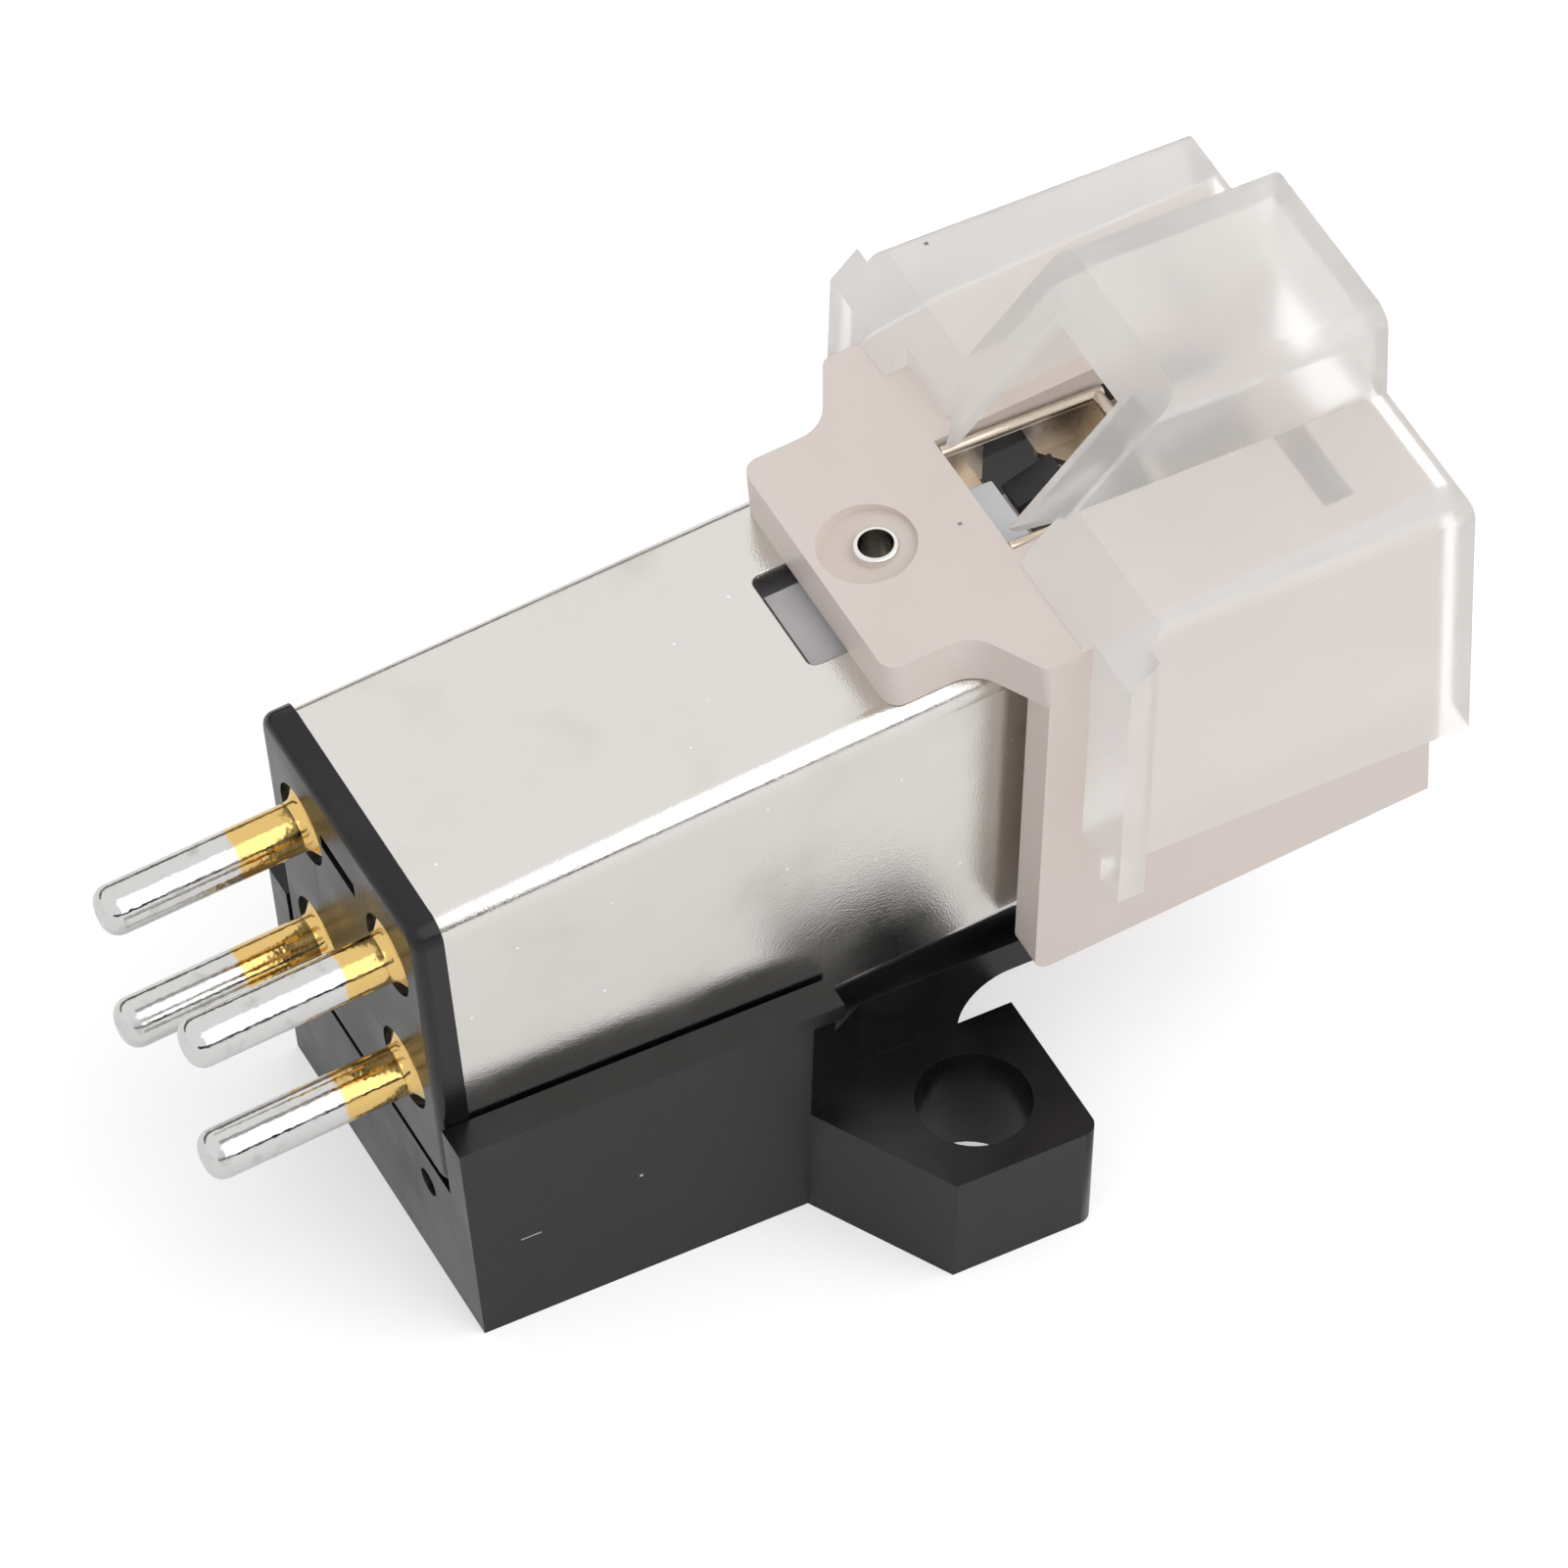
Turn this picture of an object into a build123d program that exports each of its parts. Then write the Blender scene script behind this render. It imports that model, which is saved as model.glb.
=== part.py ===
from build123d import *
from math import cos, radians, sin, tan
import os

# Phono cartridge with a push-on stylus and guard, in millimetres.
# It lies on its mounting face: Z = 0 is that face, the origin is midway between the two screw holes,
# the stylus looks along -Y and the terminals along +Y.

# Driving dimensions of the mounting base
hole_spacing = 12.7
hole_dia = 2.87
lug_thick = 3.37
lug_edge = 2.18            # from the hole's centre out to the side of the lug
lug_front = 2.26           # from the hole's centre to the front of the lug
lug_rear = 1.63            # from the hole's centre to where the side turns inwards
lug_root = 3.69            # from the hole's centre to where the lug meets the base
lug_corner_radius = 0.4
base_height = 7.03
base_wall = 0.92           # wall beside the terminal plate
base_front = 0.79          # front face, ahead of the origin
neck_half = 4.1            # half width of the base between the lugs
neck_rear = 1.95           # where the clearance for a screw head ends
lip_front = 2.87           # front of the lip on top of the rear block
lip_thick = 0.48
nose_reach = 2.1           # length of the nose ahead of the base's front face
nose_under = 4.63          # height of the underside of the nose
nose_arc = 1.38
rim_width = 0.5            # lowered rim along the neck's top
rim_height = 5.6
pit_dia = 0.75
pit_depth = 0.25
pit_across = 2.7
pit_drop = 1.15            # below the lower edge of the terminal plate

# Driving dimensions of the generator, which is tilted with its front up
tilt = 5.6
can_rear = 13.06           # rear upper edge of the can, behind the origin
can_top = 14.17            # and its height
can_width = 7.96
can_height = 9.3
can_length = 16.0
can_wall = 0.4
can_radius = 0.65
slot_width = 3.1
slot_overlap = 5.02        # start of the slot behind the can's front
slot_length = 1.9
slot_corner = 0.25
plate_thick = 0.75
plate_overhang = 0.07      # beyond the side of the can
plate_above = 0.1
plate_below = 0.3
plate_edge = 0.3
plate_corner = 0.55
spigot_length = 0.8
groove_width = 1.75
groove_height = 0.5
groove_depth = 0.4
groove_across = 0.2
groove_drop = 1.7
pin_dia = 1.27
pin_length = 5.3           # beyond the plate
pin_tail = 1.9             # inside the can
pin_across = 2.24
pin_upper = 2.36
pin_low_edge = 2.58        # lower pins above the can's lower edge
pin_tail_dia = 0.95        # part of the pin inside the plate
pin_tip_radius = 0.42
pin_dimple_dia = 0.36
pin_dimple_depth = 0.12
collar_dia = 1.9
collar_height = 0.36
collar_seat = 0.14         # how deep the collar sits in the plate
collar_room = 0.12

# Driving dimensions of the coil set inside the can
carrier_overlap = 4.85     # start of the carrier behind the can's front
carrier_inset = 0.4        # end of the carrier behind the can's front
carrier_drop = 1.2
rib_width = 2.44
rib_drop = 0.47
pole_size = 1.3
pole_ahead = 1.2           # pole pieces reach this far ahead of the can
yoke_start = 3.3
yoke_thick = 0.8
yoke_height = 2.2
bobbin_room = 0.09         # between a bobbin's flange and the can, or the middle
bobbin_height = 5.2
bobbin_flange = 0.5
bobbin_wall = 0.3
winding_inset = 0.12       # below the edge of the flange

# Driving dimensions of the stylus holder, with overlaps measured back from the can's front
tongue_overlap = 4.07
tongue_half = 3.645
tongue_thick = 1.42
neck_overlap = 1.85        # where the tongue starts to widen
tongue_corner = 0.45
neck_fillet = 1.0
shoulder_overlap = 0.85
shoulder_radius = 0.3
holder_gap = 0.52          # between the can and the holder's side wall
holder_wall = 1.0
holder_below = 0.2         # side walls reach this far below the can
wall_step = 0.13           # side walls start this far ahead of the shoulder
wall_corner = 0.4
holder_length = 13.1       # from the start of the tongue to the front, along the can's lower edge
front_lean = 3.0
front_wall = 1.3
cross_wall = 0.9
shelf_thick = 1.0
grip_width = 0.8
window_ahead = 0.2         # rear of the window ahead of the can's front
window_half = 1.924
recess_dia = 2.4
recess_overlap = 2.58
recess_depth = 0.36        # in the middle; the floor of the recess leans back
recess_lean = 9.0
eyelet_overlap = 2.4
eyelet_dia = 1.12
eyelet_bore = 0.86
eyelet_below = 0.14        # below the tongue's top
hook_slot_length = 0.8
hook_slot_inner = 2.25
hook_slot_outer = 4.7
hook_slot_wall = 1.25      # between the slot and the front

# Driving dimensions of the suspension, which lies level in the holder's window
bracket_room = 0.05        # between the window's rear and the bracket
bracket_length = 4.35
bracket_half = 1.85
bracket_sheet = 0.18
bracket_bead = 0.16
bracket_drop = 0.05        # below the holder's top at the window's rear
bracket_depth = 1.62
notch_rear = 1.16          # start of the notch in the side, ahead of the bracket's rear
notch_crest = 2.15         # highest point of the notch
notch_front = 2.65         # where the notch meets the floor
notch_cover = 0.36         # height left over the notch
mouth_half = 0.75          # half width of the floor's opening at its front
mouth_front = 0.9          # floor left at the front
plug_inset = 0.12
plug_length = 0.9
plug_half = 1.0
plug_drop = 0.93           # below the bracket's top
rubber_half = 0.62
rubber_drop = 0.13         # below the bracket's top
tube_dia = 0.6
tube_bore = 0.44
tube_front = 3.5           # pivot to front end
tube_rear = 2.5            # pivot to rear end
tube_rise = 22.0           # upward angle of the cantilever
tube_room = 0.3            # between the tube and the gap in the bracket's front
pivot_drop = 0.83          # below the bracket's top
pivot_room = 0.05
magnet_width = 0.8
magnet_height = 0.8
magnet_length = 1.4
shank_dia = 0.3
shank_above = 1.05
shank_back = 0.3           # from the front end of the tube
tip_cone = 0.3
tip_dia = 0.06

# Driving dimensions of the guard
guard_setback = 0.84       # rear of the guard's roof behind the start of the holder's side walls
wing_setback = 0.21        # wings start this far ahead of the roof
guard_ahead = 0.27         # guard's front ahead of the holder's
roof_gap = 0.03
roof_rear = 1.5            # height of the roof's top over the holder at its rear edge
roof_ramp_low = 0.06       # thickness of the roof at its rear edge
roof_step = 0.62           # right side of the roof starts this far ahead of the left
roof_step_across = 4.25
skirt_gap = 0.05
skirt_wall = 1.3
skirt_depth = 7.9          # below the roof's top
skirt_radius = 0.35
wing_rib = 0.5
wing_rib_width = 0.71
wing_tab = 0.7
tunnel_half = 2.72
tunnel_wall = 0.35
tunnel_rise = 2.76
tunnel_roof = 1.0
tunnel_front_wall = 0.9
tunnel_slope = 47.0        # of the whole rear of the guard
tunnel_radius = 0.5
blade_inner = 1.5          # half width left between the blades in the tunnel's sloping end
blade_thick = 0.35
blade_tip = 0.25           # tip of a blade, up the slope from the roof's rear edge

fit = 0.03                 # clearance of a push fit
reach = 40.0               # longer than any cut has to be

# Frames on the tilted generator, from the rear upper edge of the can
slope_sin = sin(radians(tilt))
slope_cos = cos(radians(tilt))
corner = (0, can_rear, can_top)
deck = Plane(origin=corner, x_dir=(1, 0, 0), z_dir=(0, slope_sin, slope_cos))
ahead = Plane(origin=corner, x_dir=(1, 0, 0), z_dir=(0, -slope_cos, slope_sin))
forward = Axis(corner, (0, -slope_cos, slope_sin))

slot_start = can_length - slot_overlap
carrier_start = can_length - carrier_overlap
carrier_end = can_length - carrier_inset
tongue_start = can_length - tongue_overlap
tongue_neck = can_length - neck_overlap
shoulder_start = can_length - shoulder_overlap
window_start = can_length + window_ahead
pin_lower = can_height - pin_low_edge
pole_drop = can_height / 2
pole_end = can_length + pole_ahead

can_half = can_width / 2
pole_across = (can_half - can_wall) / 2
bobbin_width = 2 * (pole_across - bobbin_room)
core_outer = pole_size + 2 * (fit + bobbin_wall)
winding_outer = bobbin_width - 2 * winding_inset
plate_half = can_half + plate_overhang
channel_half = plate_half + fit
base_half = channel_half + base_wall
lug_half = hole_spacing / 2 + lug_edge
holder_inner = can_half + holder_gap
holder_half = holder_inner + holder_wall
holder_bottom = can_height + holder_below
skirt_inner = holder_half + skirt_gap
guard_half = skirt_inner + skirt_wall


def place_y(along, up):
    return can_rear - along * slope_cos + up * slope_sin


def place_z(along, up):
    return can_top + along * slope_sin + up * slope_cos


def block(x_low, x_high, start, end, low, high, mode=Mode.ADD):
    # A block square to the generator, between two distances along it and two heights over its top
    centre = Location(((x_low + x_high) / 2, (low + high) / 2, start))
    with Locations(ahead.location * centre):
        Box(x_high - x_low, high - low, end - start,
            align=(Align.CENTER, Align.CENTER, Align.MIN), mode=mode)


def plain_block(x_low, x_high, y_low, y_high, z_low, z_high, mode=Mode.ADD):
    # A block square to the mounting face
    centre = ((x_low + x_high) / 2, (y_low + y_high) / 2, (z_low + z_high) / 2)
    with Locations(centre):
        Box(x_high - x_low, y_high - y_low, z_high - z_low, mode=mode)


# Mounting base
nose_front = -base_front - nose_reach


def deck_height(y, up):
    # Height over the mounting face, at y, of a plane this far over the can's top
    return can_top + (can_rear - y) * tan(radians(tilt)) + up / slope_cos


with BuildPart() as base:
    with BuildSketch():
        with BuildLine():
            Polyline((0, can_rear + plate_thick), (base_half, can_rear + plate_thick), (base_half, lug_root),
                     (neck_half, neck_rear), (neck_half, 0), (0, 0), close=True)
        make_face()
        mirror(about=Plane.YZ)
    extrude(amount=base_height)
    split(bisect_by=ahead.offset(-plate_thick), keep=Keep.TOP)
    plain_block(-base_half, base_half, lip_front, lug_root, base_height - lip_thick, base_height)
    plain_block(-base_half, base_half, -reach, lip_front, rim_height, reach, mode=Mode.SUBTRACT)
    with BuildSketch(Plane.YZ):
        with BuildLine():
            Polyline((lug_root, 0), (-base_front, 0), (-base_front, nose_under - nose_arc))
            ThreePointArc((-base_front, nose_under - nose_arc),
                          (-base_front - nose_arc * (1 - cos(radians(45))),
                           nose_under - nose_arc * (1 - sin(radians(45)))),
                          (-base_front - nose_arc, nose_under))
            Polyline((-base_front - nose_arc, nose_under), (nose_front, nose_under),
                     (nose_front, deck_height(nose_front, -can_height)),
                     (lug_root, deck_height(lug_root, -can_height)), (lug_root, 0))
        make_face()
    extrude(amount=neck_half, both=True)
    for hand in (-1, 1):
        plain_block(hand * neck_half - rim_width, hand * neck_half + rim_width, nose_front, lip_front,
                    rim_height, base_height, mode=Mode.SUBTRACT)
    with BuildSketch():
        with BuildLine():
            Polyline((neck_half, -base_front), (neck_half, -lug_front), (lug_half, -lug_front),
                     (lug_half, lug_rear), (base_half, lug_root), (neck_half, lug_root), close=True)
        make_face()
        fillet(vertices().group_by(Axis.Y)[0].sort_by(Axis.X)[-1], lug_corner_radius)
        mirror(about=Plane.YZ)
    extrude(amount=lug_thick)
    block(-channel_half, channel_half, 0, reach, -can_height, reach, mode=Mode.SUBTRACT)
    block(-channel_half, channel_half, -reach, 0, -can_height - plate_below - fit, reach, mode=Mode.SUBTRACT)
    with GridLocations(hole_spacing, 1, 2, 1):
        Hole(hole_dia / 2)
    with BuildSketch(ahead.offset(-plate_thick)):
        with Locations((-pit_across, -can_height - plate_below - pit_drop)):
            Circle(pit_dia / 2)
    extrude(amount=pit_depth, mode=Mode.SUBTRACT)
base.part.label = "mounting_base"

# Shield can, open at both ends, with a slot in its top
with BuildPart() as can:
    with BuildSketch(ahead):
        with Locations((0, -can_height / 2)):
            RectangleRounded(can_width, can_height, can_radius)
            RectangleRounded(can_width - 2 * can_wall, can_height - 2 * can_wall, can_radius - can_wall,
                             mode=Mode.SUBTRACT)
    extrude(amount=can_length)
    with BuildSketch(deck):
        with Locations((0, -slot_start - slot_length / 2)):
            RectangleRounded(slot_width, slot_length, slot_corner)
    extrude(amount=-can_wall, mode=Mode.SUBTRACT)
can.part.label = "shield_can"

# Terminal plate, with a spigot in the can
pin_places = [(x, -drop) for drop in (pin_upper, pin_lower) for x in (-pin_across, pin_across)]
with BuildPart() as plate:
    with BuildSketch(ahead.offset(-plate_thick)):
        with Locations((0, (plate_above - can_height - plate_below) / 2)):
            RectangleRounded(2 * plate_half, plate_above + can_height + plate_below, plate_corner)
    extrude(amount=plate_thick)
    fillet(plate.faces().sort_by(forward)[0].outer_wire().edges(), plate_edge)
    with BuildSketch(ahead):
        with Locations((0, -can_height / 2)):
            RectangleRounded(can_width - 2 * (can_wall + fit), can_height - 2 * (can_wall + fit),
                             can_radius - can_wall)
    extrude(amount=spigot_length)
    with BuildSketch(ahead.offset(-plate_thick)):
        with Locations(pin_places):
            Circle(collar_dia / 2 + collar_room)
    extrude(amount=collar_seat, mode=Mode.SUBTRACT)
    with BuildSketch(ahead.offset(-plate_thick)):
        with Locations(pin_places):
            Circle(pin_tail_dia / 2)
    extrude(amount=plate_thick + spigot_length, mode=Mode.SUBTRACT)
    with BuildSketch(ahead.offset(-plate_thick)):
        with Locations((groove_across, -groove_drop)):
            Rectangle(groove_width, groove_height)
    extrude(amount=groove_depth, mode=Mode.SUBTRACT)
plate.part.label = "terminal_plate"

# Terminal pins, turned, with a flared collar against the plate
pin_names = ["pin_upper_left", "pin_upper_right", "pin_lower_left", "pin_lower_right"]
collar_base = collar_seat - plate_thick
pin_end = -plate_thick - pin_length
pins = []
for pin_name, (pin_x, pin_h) in zip(pin_names, pin_places):
    pin_origin = ahead.from_local_coords((pin_x, pin_h, 0))
    pin_plane = Plane(origin=pin_origin, x_dir=(1, 0, 0), z_dir=(0, -slope_sin, -slope_cos))
    with BuildPart() as pin:
        with BuildSketch(pin_plane):
            with BuildLine():
                Polyline((0, pin_tail), (pin_tail_dia / 2, pin_tail), (pin_tail_dia / 2, collar_base),
                         (collar_dia / 2, collar_base))
                Spline((collar_dia / 2, collar_base), (pin_dia / 2, collar_base - collar_height),
                       tangents=[(-1, -0.4), (0, -1)])
                Line((pin_dia / 2, collar_base - collar_height), (pin_dia / 2, pin_end + pin_tip_radius))
                RadiusArc((pin_dia / 2, pin_end + pin_tip_radius),
                          (pin_dia / 2 - pin_tip_radius, pin_end), pin_tip_radius)
                Polyline((pin_dia / 2 - pin_tip_radius, pin_end), (pin_dimple_dia / 2, pin_end),
                         (0, pin_end + pin_dimple_depth), (0, pin_tail))
            make_face()
        revolve(axis=Axis(pin_origin, forward.direction))
    pin.part.label = pin_name
    pins.append(pin.part)

# Coil set in the can: carrier, rear yoke, and a pole piece, bobbin and winding for each channel
with BuildPart() as carrier:
    carrier_height = can_height - can_wall - carrier_drop
    with BuildSketch(ahead.offset(carrier_start)):
        with Locations((0, -carrier_drop - carrier_height / 2)):
            RectangleRounded(can_width - 2 * (can_wall + fit), carrier_height, can_radius - can_wall)
    extrude(amount=carrier_end - carrier_start)
    block(-rib_width / 2, rib_width / 2, carrier_start, carrier_end, -carrier_drop, -rib_drop)
    for hand in (-1, 1):
        hole_half = pole_size / 2 + fit
        block(hand * pole_across - hole_half, hand * pole_across + hole_half, carrier_start, carrier_end,
              -pole_drop - hole_half, -pole_drop + hole_half, mode=Mode.SUBTRACT)
carrier.part.label = "coil_carrier"

yoke_end = yoke_start + yoke_thick
with BuildPart() as yoke:
    yoke_half = pole_across + pole_size / 2
    block(-yoke_half, yoke_half, yoke_start, yoke_end, -pole_drop - yoke_height / 2,
          -pole_drop + yoke_height / 2)
    fillet(yoke.edges().filter_by(forward), yoke_height / 4)
yoke.part.label = "rear_yoke"

coil_parts = []
for side_name, hand in (("left", -1), ("right", 1)):
    pole_centre = hand * pole_across
    with BuildPart() as pole:
        with BuildSketch(ahead.offset(yoke_end)):
            with Locations((pole_centre, -pole_drop)):
                Rectangle(pole_size, pole_size)
        extrude(amount=pole_end - yoke_end)
    pole.part.label = "pole_piece_" + side_name
    with BuildPart() as bobbin:
        with BuildSketch(ahead.offset(yoke_end)):
            with Locations((pole_centre, -pole_drop)):
                Rectangle(core_outer, core_outer)
        extrude(amount=carrier_start - yoke_end)
        for flange_start in (yoke_end, carrier_start - bobbin_flange):
            with BuildSketch(ahead.offset(flange_start)):
                with Locations((pole_centre, -pole_drop)):
                    Rectangle(bobbin_width, bobbin_height)
            extrude(amount=bobbin_flange)
        with BuildSketch(ahead.offset(yoke_end)):
            with Locations((pole_centre, -pole_drop)):
                Rectangle(pole_size + 2 * fit, pole_size + 2 * fit)
        extrude(amount=carrier_start - yoke_end, mode=Mode.SUBTRACT)
    bobbin.part.label = "coil_bobbin_" + side_name
    with BuildPart() as winding:
        with BuildSketch(ahead.offset(yoke_end + bobbin_flange)):
            with Locations((pole_centre, -pole_drop)):
                RectangleRounded(winding_outer, winding_outer, (winding_outer - core_outer) / 2)
                Rectangle(core_outer, core_outer, mode=Mode.SUBTRACT)
        extrude(amount=carrier_start - yoke_end - 2 * bobbin_flange)
    winding.part.label = "coil_winding_" + side_name
    coil_parts += [pole.part, bobbin.part, winding.part]

# Stylus holder: a saddle over the front of the can, with a tongue on the can's top
holder_front_low = (place_y(tongue_start + holder_length, -holder_bottom),
                    place_z(tongue_start + holder_length, -holder_bottom))
holder_front_plane = Plane(origin=(0, *holder_front_low), x_dir=(1, 0, 0),
                           z_dir=(0, -cos(radians(front_lean)), sin(radians(front_lean))))
wall_rear = place_y(shoulder_start, tongue_thick) - wall_step
front_end = tongue_start + holder_length + 2 * front_wall
window_rear = place_y(window_start, tongue_thick)
bracket_rear = window_rear - bracket_room
bracket_top = deck_height(window_rear, tongue_thick) - bracket_drop
bracket_low = bracket_top - bracket_depth
plug_front = bracket_rear - plug_inset - plug_length

with BuildPart() as walls:
    block(-holder_half, holder_half, slot_start, front_end, -holder_bottom, 0)
    split(bisect_by=Plane(origin=(0, wall_rear, 0), x_dir=(1, 0, 0), z_dir=(0, -1, 0)), keep=Keep.TOP)
    fillet(walls.edges().filter_by(Axis.X).group_by(Axis.Y)[-1].sort_by(Axis.Z)[0], wall_corner)
    block(-holder_inner, holder_inner, slot_start, front_end, -holder_bottom, 0, mode=Mode.SUBTRACT)

with BuildPart() as holder:
    with BuildSketch(deck):
        with BuildLine():
            FilletPolyline((0, -tongue_start), (tongue_half, -tongue_start), (tongue_half, -tongue_neck),
                           (holder_half, -shoulder_start), (holder_half, -front_end), (0, -front_end),
                           radius=[tongue_corner, neck_fillet, shoulder_radius, shoulder_radius])
            Line((0, -front_end), (0, -tongue_start))
        make_face()
        mirror(about=Plane.YZ)
    extrude(amount=tongue_thick)
    add(walls.part)
    # Cross wall against the can's front, with a shelf for the bracket, and front wall
    block(-holder_inner, holder_inner, can_length, can_length + cross_wall, -holder_bottom, 0)
    plain_block(-holder_inner, holder_inner, plug_front, place_y(can_length + cross_wall / 2, 0),
                bracket_low - shelf_thick, bracket_low)
    block(-holder_inner, holder_inner, tongue_start + holder_length - front_wall, front_end,
          -holder_bottom, 0)
    # Ribs inside the walls that grip the can
    for hand in (-1, 1):
        for rib_up in (-can_height / 4, -3 * can_height / 4):
            rib_mid = hand * (can_half + fit + holder_inner) / 2
            rib_half = (holder_inner - can_half - fit) / 2
            block(rib_mid - rib_half, rib_mid + rib_half, shoulder_start + wall_corner + wall_step, can_length,
                  rib_up - grip_width / 2, rib_up + grip_width / 2)
    # Openings for the pole pieces, and for the bracket and the cantilever
    pole_room = pole_across + pole_size
    block(-pole_room, pole_room, can_length, can_length + cross_wall, -pole_drop - pole_size,
          -pole_drop + pole_size, mode=Mode.SUBTRACT)
    plain_block(-window_half, window_half, -reach, window_rear, bracket_low, reach, mode=Mode.SUBTRACT)
    split(bisect_by=holder_front_plane, keep=Keep.BOTTOM)
    # Slots in the top near the front
    hook_end = tongue_start + holder_length - hook_slot_wall
    for hand in (-1, 1):
        inner_edge, outer_edge = sorted((hand * hook_slot_inner, hand * hook_slot_outer))
        block(inner_edge, outer_edge, hook_end - hook_slot_length, hook_end, 0, tongue_thick,
              mode=Mode.SUBTRACT)
    # Round recess, leaning back, and the hole for the eyelet
    recess_middle = deck.from_local_coords((0, recess_overlap - can_length, tongue_thick - recess_depth))
    recess_normal = (0, sin(radians(tilt + recess_lean)), cos(radians(tilt + recess_lean)))
    with BuildSketch(Plane(origin=recess_middle, x_dir=(1, 0, 0), z_dir=recess_normal)):
        Circle(recess_dia / 2)
    extrude(amount=tongue_thick, mode=Mode.SUBTRACT)
    with BuildSketch(deck):
        with Locations((0, eyelet_overlap - can_length)):
            Circle(eyelet_dia / 2)
    extrude(amount=tongue_thick, mode=Mode.SUBTRACT)
holder.part.label = "stylus_holder"

with BuildPart() as eyelet:
    with BuildSketch(deck):
        with Locations((0, eyelet_overlap - can_length)):
            Circle(eyelet_dia / 2)
            Circle(eyelet_bore / 2, mode=Mode.SUBTRACT)
    extrude(amount=tongue_thick - eyelet_below)
    fillet(eyelet.faces().sort_by(Axis.Z)[-1].outer_wire().edges(), (eyelet_dia - eyelet_bore) / 4)
eyelet.part.label = "holder_eyelet"

# Folded bracket: a tray with rolled top edges, notched sides and an open floor
bracket_front = bracket_rear - bracket_length
bracket_inner = bracket_half - bracket_sheet
bead_line = bracket_top - bracket_bead
floor_top = bracket_low + bracket_sheet
mouth_end = bracket_front + mouth_front
pivot_up = bracket_top - pivot_drop
with BuildPart() as bracket:
    with BuildSketch(Plane(origin=(0, bracket_rear, 0), x_dir=(1, 0, 0), z_dir=(0, -1, 0))):
        with BuildLine():
            Polyline((-bracket_half, bead_line), (-bracket_half, bracket_low), (bracket_half, bracket_low),
                     (bracket_half, bead_line), (bracket_inner, bead_line), (bracket_inner, floor_top),
                     (-bracket_inner, floor_top), (-bracket_inner, bead_line), close=True)
        make_face()
        with Locations((-bracket_half + bracket_bead, bead_line), (bracket_half - bracket_bead, bead_line)):
            Circle(bracket_bead)
    extrude(amount=bracket_length)
    plain_block(-bracket_half, bracket_half, bracket_front, bracket_front + bracket_sheet,
                bracket_low, bead_line)
    with BuildSketch(Plane.YZ):
        with Locations((bracket_front + bracket_bead, bead_line)):
            Circle(bracket_bead)
    extrude(amount=bracket_half - bracket_bead, both=True)
    gap_half = tube_dia / 2 + tube_room
    plain_block(-gap_half, gap_half, bracket_front, bracket_front + 2 * bracket_bead, pivot_up - tube_dia / 2,
                bracket_top, mode=Mode.SUBTRACT)
    with BuildSketch(Plane.XY.offset(bracket_low)):
        with BuildLine():
            Polyline((-bracket_inner, plug_front), (bracket_inner, plug_front),
                     (bracket_inner, bracket_rear - notch_front), (mouth_half, mouth_end),
                     (-mouth_half, mouth_end), (-bracket_inner, bracket_rear - notch_front), close=True)
        make_face()
    extrude(amount=bracket_sheet, mode=Mode.SUBTRACT)
    with BuildSketch(Plane.YZ):
        with BuildLine():
            Polyline((bracket_rear - notch_rear, bracket_low),
                     (bracket_rear - notch_rear, bracket_top - notch_cover),
                     (bracket_rear - notch_crest, bracket_top - notch_cover),
                     (bracket_rear - notch_front, floor_top), (bracket_rear - notch_front, bracket_low),
                     close=True)
        make_face()
    extrude(amount=bracket_half, both=True, mode=Mode.SUBTRACT)
bracket.part.label = "suspension_bracket"

with BuildPart() as plug:
    plain_block(-plug_half, plug_half, plug_front, bracket_rear - plug_inset, floor_top,
                bracket_top - plug_drop)
plug.part.label = "damper_plug"

# Cantilever: a tube through the rubber, rising to the stylus
rubber_front = bracket_front + bracket_sheet
pivot = (0, (rubber_front + mouth_end) / 2, pivot_up)
tube_sin = sin(radians(tube_rise))
tube_cos = cos(radians(tube_rise))
tube_plane = Plane(origin=pivot, x_dir=(1, 0, 0), z_dir=(0, -tube_cos, tube_sin))

with BuildPart() as rubber:
    plain_block(-rubber_half, rubber_half, rubber_front, mouth_end, floor_top, bracket_top - rubber_drop)
    with BuildSketch(tube_plane):
        Circle(tube_dia / 2 + pivot_room)
    extrude(amount=reach, both=True, mode=Mode.SUBTRACT)
rubber.part.label = "rubber_damper"

with BuildPart() as tube:
    with BuildSketch(tube_plane.offset(-tube_rear)):
        Circle(tube_dia / 2)
        Circle(tube_bore / 2, mode=Mode.SUBTRACT)
    extrude(amount=tube_rear + tube_front)
    shank_place = tube_plane.from_local_coords((0, 0, tube_front - shank_back))
    shank_plane = Plane(origin=shank_place, x_dir=(1, 0, 0), z_dir=(0, 0, 1))
    with BuildSketch(shank_plane):
        Circle(shank_dia / 2)
    extrude(amount=tube_dia, both=True, mode=Mode.SUBTRACT)
tube.part.label = "cantilever"

with BuildPart() as stylus:
    with BuildSketch(Plane(origin=shank_place, x_dir=(1, 0, 0), z_dir=(0, -1, 0))):
        with BuildLine():
            Polyline((0, -tube_dia / 2), (shank_dia / 2, -tube_dia / 2),
                     (shank_dia / 2, shank_above - tip_cone), (tip_dia / 2, shank_above),
                     (0, shank_above), close=True)
        make_face()
    revolve(axis=Axis(shank_place, (0, 0, 1)))
stylus.part.label = "stylus_tip"

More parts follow.
